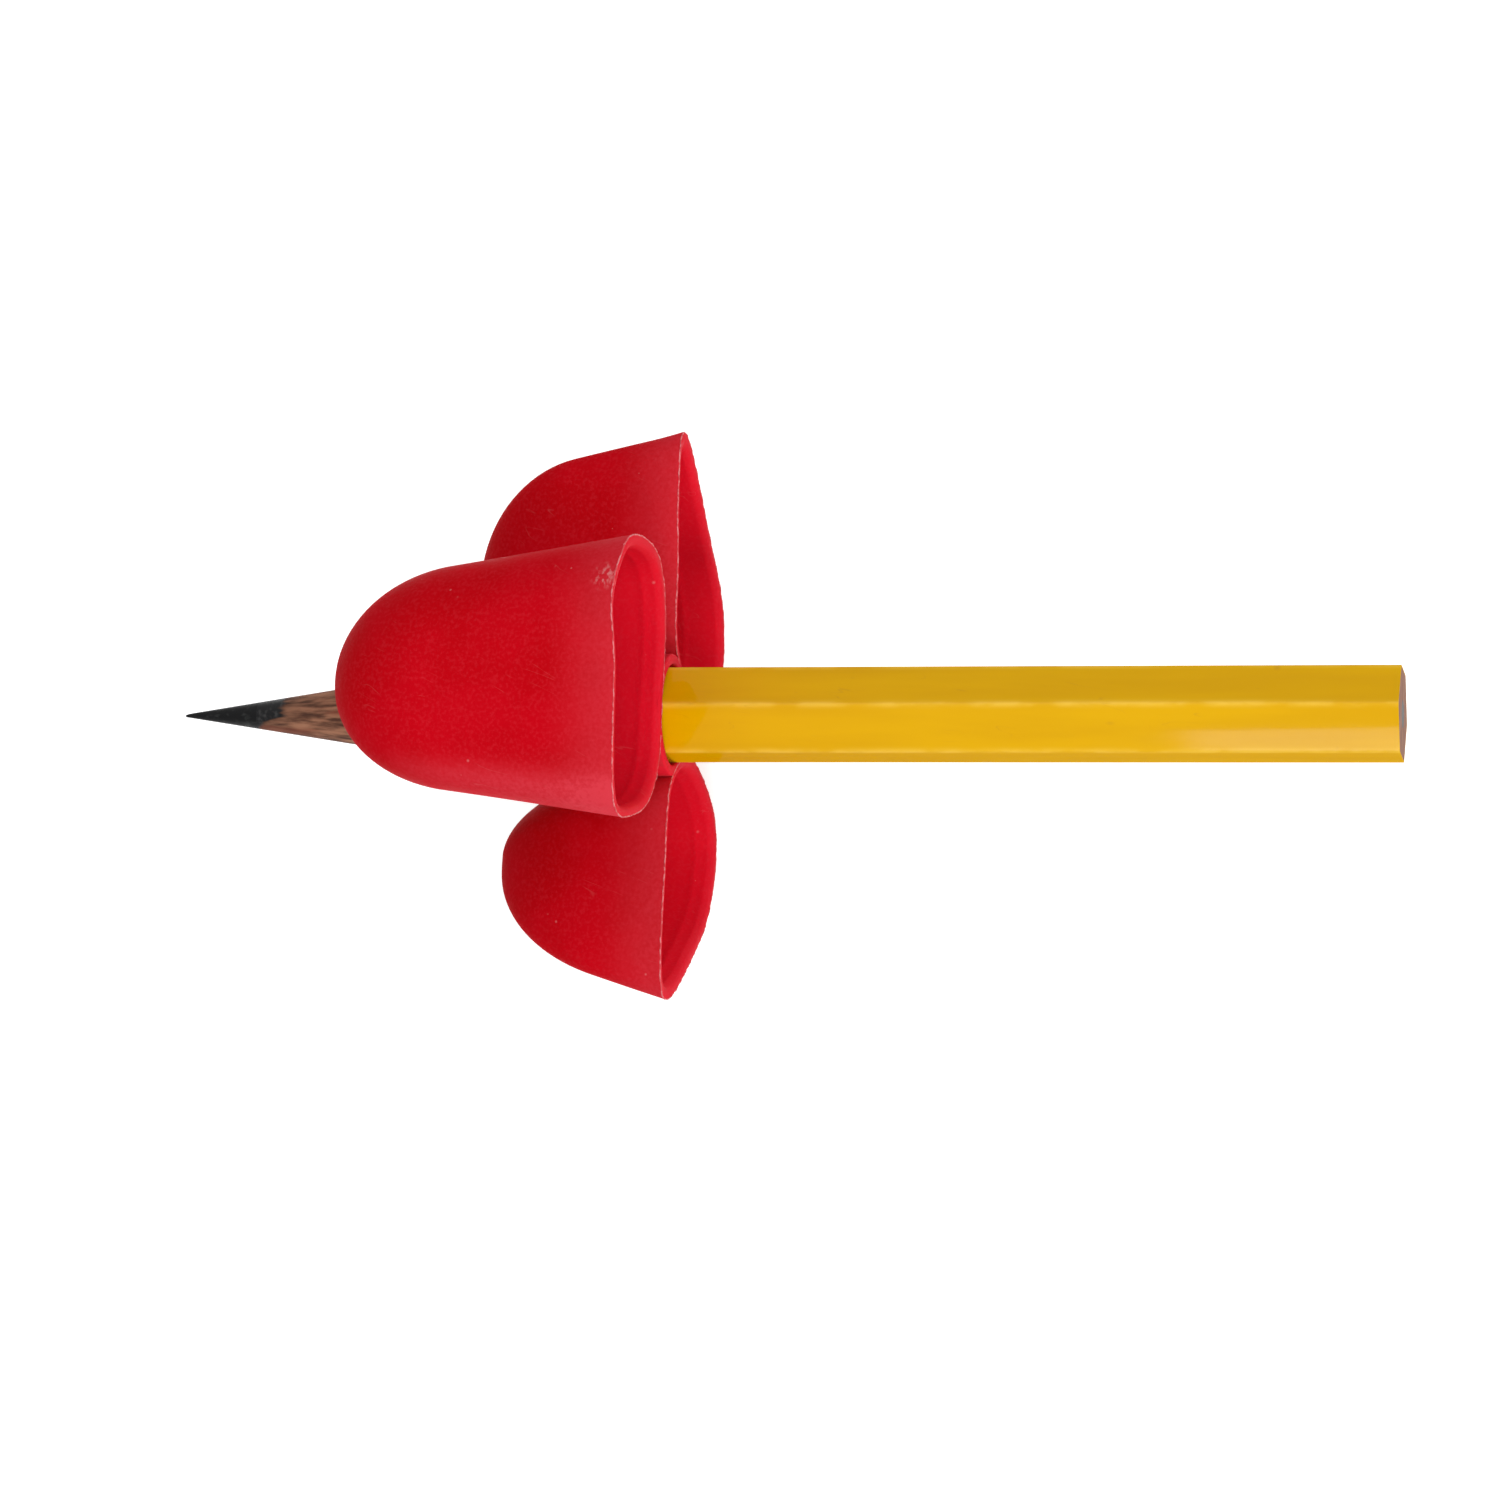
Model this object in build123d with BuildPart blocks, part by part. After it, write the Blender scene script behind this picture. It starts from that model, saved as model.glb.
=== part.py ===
"""Rubber pencil grip with three fingertip cups, seated on a hexagonal wood-cased pencil."""

import os
from dataclasses import dataclass
from math import asin, cos, pi, radians, sin, tan

from build123d import *

# The pencil's axis is the X axis. The point looks along -X and the sawn end lies on the YZ plane.

# Pencil
pencil_length = 99.0
across_flats = 7.0
barrel_edge_radius = 0.5
lacquer_thickness = 0.12
lead_diameter = 2.2
cone_half_angle = 8.8
point_radius = 0.12
wear_angle = 17.0
wear_offset = 0.05

# Sleeve that holds the pencil
grip_from_point = 41.0
sleeve_length = 10.0
sleeve_wall = 0.9
running_clearance = 0.05

# Cups
cup_wall = 0.9
cup_end_wall = 1.3
dome_depth = 9.0
mouth_overrun = 1.0
dome_ring_shares = (0.24, 0.46, 0.64, 0.79, 0.9)


@dataclass
class Side:
    """Half widths of one side of a cup's mouth, from the sleeve out to the outer wall."""

    root: float
    flank: float
    belly: float
    corner: float


@dataclass
class Mouth:
    """Outline of a cup's mouth: distances from the pencil's axis, and the widths of both sides."""

    inner: float
    root: float
    flank: float
    belly: float
    corner: float
    outer: float
    plus: Side
    minus: Side


@dataclass
class Cup:
    """One fingertip cup: the way it points round the pencil, its length, its taper and its mouth."""

    angle: float
    length: float
    draft_angle: float
    mouth: Mouth


long_lower = Side(root=5.8, flank=8.8, belly=10.8, corner=10.0)
long_upper = Side(root=7.2, flank=10.8, belly=11.8, corner=9.6)
upper_facing = Side(root=3.4, flank=6.0, belly=9.7, corner=12.2)
upper_away = Side(root=5.0, flank=8.9, belly=10.7, corner=8.4)
lower_facing = Side(root=3.2, flank=5.6, belly=8.8, corner=10.8)
lower_away = Side(root=4.8, flank=8.8, belly=11.5, corner=7.6)
long_mouth = Mouth(
    inner=4.1, root=4.3, flank=6.6, belly=12.0, corner=18.2, outer=19.8, plus=long_lower, minus=long_upper
)
upper_mouth = Mouth(
    inner=4.2, root=5.0, flank=8.5, belly=13.5, corner=18.2, outer=19.5, plus=upper_facing, minus=upper_away
)
lower_mouth = Mouth(
    inner=4.2, root=5.2, flank=8.6, belly=14.0, corner=19.2, outer=20.8, plus=lower_away, minus=lower_facing
)

long_cup = Cup(angle=0.0, length=24.5, draft_angle=8.5, mouth=long_mouth)
upper_cup = Cup(angle=120.0, length=18.2, draft_angle=7.0, mouth=upper_mouth)
lower_cup = Cup(angle=-120.0, length=15.2, draft_angle=13.0, mouth=lower_mouth)


def mouth_points(mouth):
    """Give the outline's points, as distances from the axis and across the cup, in order round it."""
    plus = [
        (mouth.root, mouth.plus.root),
        (mouth.flank, mouth.plus.flank),
        (mouth.belly, mouth.plus.belly),
        (mouth.corner, mouth.plus.corner),
    ]
    minus = [
        (mouth.corner, -mouth.minus.corner),
        (mouth.belly, -mouth.minus.belly),
        (mouth.flank, -mouth.minus.flank),
        (mouth.root, -mouth.minus.root),
    ]
    return [(mouth.inner, 0), *plus, (mouth.outer, 0), *minus]


def mean_half_width(mouth):
    """Give the mean of the mouth's half depth and half width."""
    return (mouth.outer - mouth.inner + mouth.plus.belly + mouth.minus.belly) / 4


def drawn_in(mouth, amount, ring_scale):
    """Give the outline drawn in by an amount on every side, then scaled about the cup's own axis."""
    half_depth = (mouth.outer - mouth.inner) / 2
    half_width = (mouth.plus.belly + mouth.minus.belly) / 2
    depth_scale = ring_scale * (1 - amount / half_depth)
    width_scale = ring_scale * (1 - amount / half_width)
    middle = (mouth.outer + mouth.inner) / 2
    shifted = []
    for distance, across in mouth_points(mouth):
        shifted.append((middle + (distance - middle) * depth_scale, across * width_scale))
    return shifted


def cup_ring(cup, x, amount, ring_scale=1.0):
    """Draw one ring of a cup, square to the pencil at x."""
    turn = radians(cup.angle)
    plane = Plane(origin=(x, 0, 0), x_dir=(0, sin(turn), cos(turn)), z_dir=(1, 0, 0))
    with BuildSketch(plane) as ring:
        with BuildLine():
            Spline(*drawn_in(cup.mouth, amount, ring_scale), periodic=True)
        make_face()
    return ring.sketch


def cup_body(cup, wall, end_wall, overrun):
    """Loft a cup's tapered walls and its domed end, drawn in by the walls for the cup's inside."""
    draft = tan(radians(cup.draft_angle))
    straight = cup.length - dome_depth
    depth = dome_depth - end_wall
    shoulder_x = sleeve_end_x - straight
    shoulder_amount = wall + draft * straight
    shoulder = cup_ring(cup, shoulder_x, shoulder_amount)
    mouth = cup_ring(cup, sleeve_end_x + overrun, wall - draft * overrun)
    start = asin(draft * depth / (mean_half_width(cup.mouth) - shoulder_amount - draft * depth))
    dome = [shoulder]
    for share in dome_ring_shares:
        ring_turn = start + (pi / 2 - start) * share
        ring_x = shoulder_x - depth * (sin(ring_turn) - sin(start)) / (1 - sin(start))
        dome.append(cup_ring(cup, ring_x, shoulder_amount, cos(ring_turn) / cos(start)))
    with BuildPart() as body:
        loft(sections=[mouth, shoulder], ruled=True)
        loft(sections=dome)
    return body.part


def barrel_section(flats):
    """Draw the barrel's section, a hexagon with softened edges, one of them at the top."""
    with BuildSketch(Plane.YZ) as section:
        RegularPolygon(radius=flats / 2, side_count=6, major_radius=False, rotation=30)
        fillet(section.vertices(), radius=barrel_edge_radius)
    return section.sketch


sleeve_end_x = grip_from_point - pencil_length
core_flats = across_flats - 2 * lacquer_thickness
edge_circle = (across_flats / 2 - barrel_edge_radius) / cos(radians(30)) + barrel_edge_radius
bore_radius = edge_circle + running_clearance
sleeve_radius = bore_radius + sleeve_wall
cone_length = (across_flats - point_radius) / tan(radians(cone_half_angle))
cups = (long_cup, upper_cup, lower_cup)
outsides = [cup_body(cup, 0, 0, 0) for cup in cups]
insides = [cup_body(cup, cup_wall, cup_end_wall, mouth_overrun) for cup in cups]

# Grip: a sleeve and three cups in one moulding
with BuildPart() as grip_moulding:
    with BuildSketch(Plane.YZ.offset(sleeve_end_x)):
        Circle(sleeve_radius)
    extrude(amount=-sleeve_length)
    add(outsides)
    add(insides, mode=Mode.SUBTRACT)
    with BuildSketch(Plane.YZ):
        Circle(bore_radius)
    extrude(amount=-pencil_length, mode=Mode.SUBTRACT)

# Space that the sharpener leaves: a cone behind the point, open wide behind its base
with BuildPart() as sharpened:
    with BuildSketch(Plane.XY):
        with BuildLine():
            Polyline(
                (-pencil_length, 0),
                (-pencil_length, point_radius),
                (-pencil_length + cone_length, across_flats),
                (0, across_flats),
                (0, 0),
                close=True,
            )
        make_face()
    revolve(axis=Axis.X)

# Lead: a round rod with a conical point, worn flat on one side by writing
with BuildPart() as lead_core:
    with BuildSketch(Plane.YZ):
        Circle(lead_diameter / 2)
    extrude(amount=-pencil_length)
    add(sharpened.part, mode=Mode.INTERSECT)
    wear_turn = radians(wear_angle)
    wear_normal = (-sin(wear_turn), cos(wear_turn), 0)
    split(bisect_by=Plane(origin=(-pencil_length, wear_offset, 0), z_dir=wear_normal), keep=Keep.BOTTOM)

# Casing: two grooved wooden slats glued together round the lead
with BuildPart() as casing:
    extrude(barrel_section(core_flats), amount=-pencil_length)
    with BuildSketch(Plane.YZ):
        Circle(lead_diameter / 2)
    extrude(amount=-pencil_length, mode=Mode.SUBTRACT)
    add(sharpened.part, mode=Mode.INTERSECT)

with BuildPart() as casing_slat_left:
    add(casing.part)
    split(bisect_by=Plane.XZ, keep=Keep.BOTTOM)

with BuildPart() as casing_slat_right:
    add(casing.part)
    split(bisect_by=Plane.XZ, keep=Keep.TOP)

# Lacquer: a thin coat on the six sides, scalloped in front where the sharpener cut through it
with BuildPart() as lacquer_coat:
    extrude(barrel_section(across_flats), amount=-pencil_length)
    extrude(barrel_section(core_flats), amount=-pencil_length, mode=Mode.SUBTRACT)
    add(sharpened.part, mode=Mode.INTERSECT)

pieces = {
    "grip_moulding": grip_moulding,
    "lead_core": lead_core,
    "casing_slat_left": casing_slat_left,
    "casing_slat_right": casing_slat_right,
    "lacquer_coat": lacquer_coat,
}
os.makedirs("parts", exist_ok=True)
for name, piece in pieces.items():
    piece.part.label = name
    export_step(piece.part, f"parts/{name}.step")
    print(name, round(piece.part.volume, 2), piece.part.bounding_box())
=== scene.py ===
"""Visual model of a rubber pencil grip with three fingertip cups, seated on a hexagonal pencil."""

import logging
import math
from dataclasses import dataclass, fields
from enum import Enum
from functools import cache
from typing import Any

import bmesh
import bpy
import numpy as np
from bpy.types import ID, Material, Mesh, Node, NodeTree, Object
from bpy.types import NodeOutputs as Outputs
from bpy.types import NodeSocket as Socket
from mathutils import Matrix, Vector
from mathutils.kdtree import KDTree


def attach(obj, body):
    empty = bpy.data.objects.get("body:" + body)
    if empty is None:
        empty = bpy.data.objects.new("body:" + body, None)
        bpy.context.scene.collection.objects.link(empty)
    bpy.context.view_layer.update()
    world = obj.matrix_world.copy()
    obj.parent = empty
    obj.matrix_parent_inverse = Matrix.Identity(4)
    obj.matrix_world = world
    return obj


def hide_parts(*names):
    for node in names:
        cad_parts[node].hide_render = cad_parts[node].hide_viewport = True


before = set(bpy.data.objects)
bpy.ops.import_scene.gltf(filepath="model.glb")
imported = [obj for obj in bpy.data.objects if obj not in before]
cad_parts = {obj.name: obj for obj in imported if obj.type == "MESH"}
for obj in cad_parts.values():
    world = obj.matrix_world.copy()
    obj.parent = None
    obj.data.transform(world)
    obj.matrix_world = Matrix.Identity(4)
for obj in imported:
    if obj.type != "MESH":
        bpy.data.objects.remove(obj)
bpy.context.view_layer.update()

# The pencil's axis is X and its point looks along -X. Lengths are in millimetres unless noted.
MM = 0.001
MOUTH_X = -58.0
PENCIL_LENGTH = 99.0
LOG = logging.getLogger("pencil_grip")
Colour = tuple[float, float, float]
Triple = tuple[float, float, float]
Span = tuple[float, float]
Faces = list[tuple[int, ...]]
Inputs = dict[str | int, Any]
Numbers = np.ndarray | float


class Body(Enum):
    """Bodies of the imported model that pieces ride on."""

    GRIP = "grip"
    PENCIL = "pencil"


class Slot(Enum):
    """Material slots of the record."""

    RUBBER = "red_rubber"
    GRAPHITE = "graphite"
    WOOD = "casing_wood"
    LACQUER = "yellow_lacquer"


class SlatSide(Enum):
    """Sides of the glue line, as the first angle of a slat's half turn round the pencil."""

    LEFT = 0.0
    RIGHT = math.pi


@dataclass(frozen=True)
class Patches:
    """Patches of noise: cells a metre, octaves, the noise where they start and end, and their range."""

    scale: float
    detail: float
    low: float
    high: float
    least: float = 0.0
    most: float = 1.0


@dataclass(frozen=True)
class Specks:
    """Sparse round specks: cells a metre, the share of cells with a speck, and how well they cover."""

    scale: float
    share: float
    cover: float


@dataclass(frozen=True)
class Scratches:
    """Sparse thin scratches: cells a metre, their turn in radians, and how well they cover."""

    scale: float
    turn: float
    cover: float


@dataclass(frozen=True)
class Relief:
    """Bumps of a surface: cells a metre and depth in metres, of broad waves and of fine grain."""

    wave_scale: float
    wave_depth: float
    grain_scale: float
    grain_depth: float


@dataclass(frozen=True)
class Graph:
    """Adds and wires the nodes of one shader or geometry tree."""

    tree: NodeTree

    def feed(self, node: Node, inputs: Inputs) -> None:
        """Set or link inputs of a node.

        Args:
            node: The node.
            inputs: Values or sockets, by input name or index.
        """
        for key, value in inputs.items():
            socket = node.inputs[key]
            if isinstance(value, Socket):
                self.tree.links.new(value, socket)
            elif socket.type == "RGBA":
                socket.default_value = (*value, 1.0)
            else:
                socket.default_value = value

    def add(self, kind: str, inputs: Inputs | None = None, **settings: Any) -> Outputs:
        """Add one node.

        Args:
            kind: The node's type name.
            inputs: Values or sockets to feed, by input name or index.
            **settings: Properties of the node itself.

        Returns:
            The new node's outputs.
        """
        node = self.tree.nodes.new(kind)
        for name, value in settings.items():
            setattr(node, name, value)
        self.feed(node, inputs or {})
        return node.outputs

    def calc(self, operation: str, *values: Any) -> Socket:
        """Add a maths node.

        Args:
            operation: The maths operation.
            *values: Numbers or sockets, in order.

        Returns:
            The result's socket.
        """
        return self.add("ShaderNodeMath", dict(enumerate(values)), operation=operation)[0]

    def fade(self, value: Any, low: Any, high: Any, start: float = 0.0, end: float = 1.0) -> Socket:
        """Map a value smoothly from one range to another.

        Args:
            value: The value's socket.
            low: Where the fade starts.
            high: Where the fade ends.
            start: Result before the fade.
            end: Result after the fade.

        Returns:
            The result's socket.
        """
        inputs = {0: value, 1: low, 2: high, 3: start, 4: end}
        return self.add("ShaderNodeMapRange", inputs, interpolation_type="SMOOTHSTEP")[0]

    def mix(self, factor: Any, first: Any, second: Any) -> Socket:
        """Mix two colours.

        Args:
            factor: Share of the second colour.
            first: The first colour or its socket.
            second: The second colour or its socket.

        Returns:
            The mixed colour's socket.
        """
        return self.add("ShaderNodeMix", {0: factor, 6: first, 7: second}, data_type="RGBA")[2]

    def noise(self, vector: Socket, scale: Any, detail: float) -> Socket:
        """Add a noise texture.

        Args:
            vector: The coordinates' socket.
            scale: Cells a metre.
            detail: Octaves of finer noise.

        Returns:
            The noise value's socket.
        """
        return self.add("ShaderNodeTexNoise", {"Vector": vector, "Scale": scale, "Detail": detail})[0]

    def patches(self, vector: Socket, patches: Patches) -> Socket:
        """Add patches of noise.

        Args:
            vector: The coordinates' socket.
            patches: The patches.

        Returns:
            The mask's socket.
        """
        noise = self.noise(vector, patches.scale, patches.detail)
        return self.fade(noise, patches.low, patches.high, patches.least, patches.most)

    def stretched(self, vector: Socket, scale: Triple) -> Socket:
        """Stretch coordinates along the axes.

        Args:
            vector: The coordinates' socket.
            scale: Factor along each axis.

        Returns:
            The stretched coordinates' socket.
        """
        return self.add("ShaderNodeVectorMath", {0: vector, 1: scale}, operation="MULTIPLY")[0]

    def attribute(self, name: str) -> Socket:
        """Read a number laid on the mesh.

        Args:
            name: The attribute's name.

        Returns:
            The number's socket.
        """
        return self.add("ShaderNodeAttribute", attribute_name=name)["Fac"]


class SharedNodes:
    """Shader groups that several finishes use."""

    speck_least: float = 0.08
    speck_spread: float = 0.22
    scratch_axis: Triple = (0.3, 0.2, 0.93)
    scratch_stretch: Triple = (0.07, 1.0, 1.0)
    scratch_width: float = 0.012
    scratch_detail: float = 1.0
    scratch_zones: Patches = Patches(330.0, 2.0, 0.58, 0.68)
    wave_detail: float = 1.0
    grain_detail: float = 3.0

    def __init__(self) -> None:
        """Build the groups."""
        self.groups = {Specks: self._specks(), Scratches: self._scratches(), Relief: self._relief()}

    @staticmethod
    def _start(kind: type, result: str, socket: str) -> tuple[Graph, Outputs]:
        """Start a shader group that takes coordinates and the numbers of one kind of settings.

        Args:
            kind: The settings' class, which names the group and its inputs.
            result: Name of the group's output.
            socket: Socket type of the group's output.

        Returns:
            The group's graph and what the group is given.
        """
        tree = bpy.data.node_groups.new(kind.__name__, "ShaderNodeTree")
        tree.interface.new_socket("Vector", in_out="INPUT", socket_type="NodeSocketVector")
        for field in fields(kind):
            tree.interface.new_socket(field.name, in_out="INPUT", socket_type="NodeSocketFloat")
        tree.interface.new_socket(result, in_out="OUTPUT", socket_type=socket)
        graph = Graph(tree)
        return graph, graph.add("NodeGroupInput")

    def _specks(self) -> NodeTree:
        """Build a mask of sparse round specks of uneven size.

        Returns:
            The group.
        """
        graph, given = self._start(Specks, "Mask", "NodeSocketFloat")
        inputs = {"Vector": given["Vector"], "Scale": given["scale"]}
        cells = graph.add("ShaderNodeTexVoronoi", inputs)
        chance = graph.add("ShaderNodeSeparateColor", {0: cells["Color"]})
        chosen = graph.calc("LESS_THAN", chance[0], given["share"])
        reach = graph.calc("MULTIPLY_ADD", chance[1], self.speck_spread, self.speck_least)
        mask = graph.calc("MULTIPLY", chosen, graph.fade(cells["Distance"], reach, 0.0))
        graph.add("NodeGroupOutput", {"Mask": graph.calc("MULTIPLY", mask, given["cover"])})
        return graph.tree

    def _scratches(self) -> NodeTree:
        """Build a mask of sparse thin scratches that run along the stretched direction.

        Returns:
            The group.
        """
        graph, given = self._start(Scratches, "Mask", "NodeSocketFloat")
        turn = {"Vector": given["Vector"], "Angle": given["turn"], "Axis": self.scratch_axis}
        course = graph.stretched(graph.add("ShaderNodeVectorRotate", turn)[0], self.scratch_stretch)
        noise = graph.noise(course, given["scale"], self.scratch_detail)
        from_line = graph.calc("ABSOLUTE", graph.calc("SUBTRACT", noise, 0.5))
        line = graph.fade(from_line, self.scratch_width, 0.0)
        mask = graph.calc("MULTIPLY", line, graph.patches(given["Vector"], self.scratch_zones))
        graph.add("NodeGroupOutput", {"Mask": graph.calc("MULTIPLY", mask, given["cover"])})
        return graph.tree

    def _relief(self) -> NodeTree:
        """Build a surface normal with broad waves and fine grain.

        Returns:
            The group.
        """
        graph, given = self._start(Relief, "Normal", "NodeSocketVector")
        wave = graph.noise(given["Vector"], given["wave_scale"], self.wave_detail)
        grain = graph.noise(given["Vector"], given["grain_scale"], self.grain_detail)
        deep = graph.calc("MULTIPLY", wave, given["wave_depth"])
        height = graph.calc("MULTIPLY_ADD", grain, given["grain_depth"], deep)
        bump = graph.add("ShaderNodeBump", {"Height": height, "Distance": 1.0, "Strength": 1.0})
        graph.add("NodeGroupOutput", {"Normal": bump[0]})
        return graph.tree

    def use(self, graph: Graph, vector: Socket, settings: Specks | Scratches | Relief) -> Socket:
        """Add the group that belongs to some settings to a material.

        Args:
            graph: The material's graph.
            vector: The coordinates' socket.
            settings: The group's settings.

        Returns:
            The group's output.
        """
        inputs = {"Vector": vector, **vars(settings)}
        return graph.add("ShaderNodeGroup", inputs, node_tree=self.groups[type(settings)])[0]


@dataclass(frozen=True)
class Finish:
    """Base of the finishes, with what they share."""

    shared: SharedNodes

    def start(self, name: str) -> tuple[Material, Graph, Node, Socket]:
        """Start a material.

        Args:
            name: The material's name.

        Returns:
            The material, its graph, its Principled node and its object coordinates.
        """
        material = bpy.data.materials.new(name)
        material.use_nodes = True
        graph = Graph(material.node_tree)
        shader = material.node_tree.nodes["Principled BSDF"]
        return material, graph, shader, graph.add("ShaderNodeTexCoord")["Object"]


@dataclass(frozen=True)
class RubberFinish(Finish):
    """Matte moulded rubber, paler and dusty towards the mouths, with painted light: brighter inside the
    cups, a sheen along one flank and a highlight at the inner lips.
    """

    deep: Colour = (0.50, 0.0010, 0.0050)
    bright: Colour = (0.55, 0.0016, 0.0080)
    # Painted light: a brighter red for the inside of the cups, standing in for light that reaches in.
    inner: Colour = (0.66, 0.0045, 0.018)
    # Pale red for wearing towards the mouths, also used for the painted flank sheen and the painted
    # inner-lip highlight.
    worn_and_lit: Colour = (0.68, 0.042, 0.062)
    dust: Colour = (0.75, 0.30, 0.30)
    tone: Patches = Patches(150.0, 3.0, 0.35, 0.65)
    powder: Patches = Patches(3000.0, 4.0, 0.3, 0.7, 0.31, 0.5)
    mottle: Patches = Patches(3600.0, 3.0, 0.42, 0.72, 0.0, 0.15)
    specks: Specks = Specks(1400.0, 0.03, 0.35)
    scratches: Scratches = Scratches(900.0, 0.5, 0.07)
    scuff_place: Triple = (-59.2, 6.6, 19.4)
    scuff_size: float = 1.5
    scuff_cover: float = 0.75
    scuff_stretch: Triple = (1.0, 0.6, 0.6)
    torn: Patches = Patches(2900.0, 4.0, 0.47, 0.66)
    relief: Relief = Relief(260.0, 2e-5, 5200.0, 1.2e-5)
    roughness: Span = (0.5, 0.61)
    specular: float = 0.015

    def build(self) -> Material:
        """Build the rubber.

        Returns:
            The material.
        """
        material, graph, shader, coords = self.start("red_rubber")
        tone = graph.patches(coords, self.tone)
        colour = graph.mix(tone, self.deep, self.bright)
        # Painted light: points inside the cups take the brighter red.
        colour = graph.mix(graph.attribute("inside"), colour, self.inner)
        # This mask holds wearing towards the mouths together with a painted flank sheen and a painted
        # inner-lip highlight.
        wear_and_painted_light = graph.calc("MULTIPLY", graph.attribute("wear_and_painted_light"), graph.patches(coords, self.powder))
        colour = graph.mix(wear_and_painted_light, colour, self.worn_and_lit)
        colour = graph.mix(graph.patches(coords, self.mottle), colour, self.worn_and_lit)
        colour = graph.mix(self.shared.use(graph, coords, self.specks), colour, self.dust)
        colour = graph.mix(self.shared.use(graph, coords, self.scratches), colour, self.dust)
        ends = {0: coords, 1: tuple(value * MM for value in self.scuff_place)}
        apart = graph.add("ShaderNodeVectorMath", ends, operation="DISTANCE")["Value"]
        spot = graph.fade(apart, self.scuff_size * MM, 0.0, 0.0, self.scuff_cover)
        torn = graph.patches(graph.stretched(coords, self.scuff_stretch), self.torn)
        colour = graph.mix(graph.calc("MULTIPLY", spot, torn), colour, self.dust)
        surface = {
            "Base Color": colour,
            "Normal": self.shared.use(graph, coords, self.relief),
            "Roughness": graph.fade(tone, 0.0, 1.0, *self.roughness),
            "Specular IOR Level": self.specular,
        }
        graph.feed(shader, surface)
        return material


@dataclass(frozen=True)
class FlashFinish(Finish):
    """Thin torn rubber at the mouths, pale where it is stretched."""

    thin: Colour = (0.66, 0.17, 0.18)
    thick: Colour = (0.56, 0.03, 0.04)
    torn: Patches = Patches(2000.0, 2.0, 0.42, 0.6)
    roughness: float = 0.6

    def build(self) -> Material:
        """Build the flash.

        Returns:
            The material.
        """
        material, graph, shader, coords = self.start("rubber_flash")
        colour = graph.mix(graph.patches(coords, self.torn), self.thick, self.thin)
        graph.feed(shader, {"Base Color": colour, "Roughness": self.roughness})
        return material


@dataclass(frozen=True)
class LacquerFinish(Finish):
    """Glossy yellow lacquer, a little uneven along the barrel and paler on its edges, as rubbed lacquer
    and a painted edge highlight.
    """

    light: Colour = (0.70, 0.380, 0.0)
    dark: Colour = (0.65, 0.342, 0.0)
    mark: Colour = (0.45, 0.20, 0.02)
    # Pale yellow of the edges: rubbed lacquer together with a painted highlight.
    rubbed: Colour = (0.86, 0.56, 0.07)
    stretch: Triple = (0.12, 1.0, 1.0)
    tone: Patches = Patches(380.0, 3.0, 0.3, 0.7)
    specks: Specks = Specks(520.0, 0.03, 0.4)
    edge_rub_and_highlight_stretch: Triple = (0.4, 1.0, 1.0)
    edge_rub_and_highlight: Patches = Patches(700.0, 4.0, 0.36, 0.64, 0.1, 0.6)
    scratches: Scratches = Scratches(1300.0, 0.2, 0.22)
    relief: Relief = Relief(420.0, 1.5e-5, 2400.0, 1.5e-6)
    roughness: Patches = Patches(600.0, 3.0, 0.3, 0.7, 0.16, 0.3)
    coat: float = 0.033
    coat_ior: float = 3.0
    coat_roughness: float = 0.06

    def build(self) -> Material:
        """Build the lacquer.

        Returns:
            The material.
        """
        material, graph, shader, coords = self.start("yellow_lacquer")
        along = graph.stretched(coords, self.stretch)
        colour = graph.mix(graph.patches(along, self.tone), self.dark, self.light)
        colour = graph.mix(self.shared.use(graph, coords, self.specks), colour, self.mark)
        # Painted highlight and rubbed lacquer: the hexagon's edges turn paler in patches.
        edge_rub_and_highlight = graph.patches(graph.stretched(coords, self.edge_rub_and_highlight_stretch), self.edge_rub_and_highlight)
        colour = graph.mix(graph.calc("MULTIPLY", graph.attribute("edge"), edge_rub_and_highlight), colour, self.rubbed)
        colour = graph.mix(self.shared.use(graph, coords, self.scratches), colour, self.mark)
        surface = {
            "Base Color": colour,
            "Normal": self.shared.use(graph, along, self.relief),
            "Roughness": graph.patches(coords, self.roughness),
            "Specular IOR Level": 0.0,
            "Coat Weight": self.coat,
            "Coat IOR": self.coat_ior,
            "Coat Roughness": self.coat_roughness,
        }
        graph.feed(shader, surface)
        return material


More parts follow.
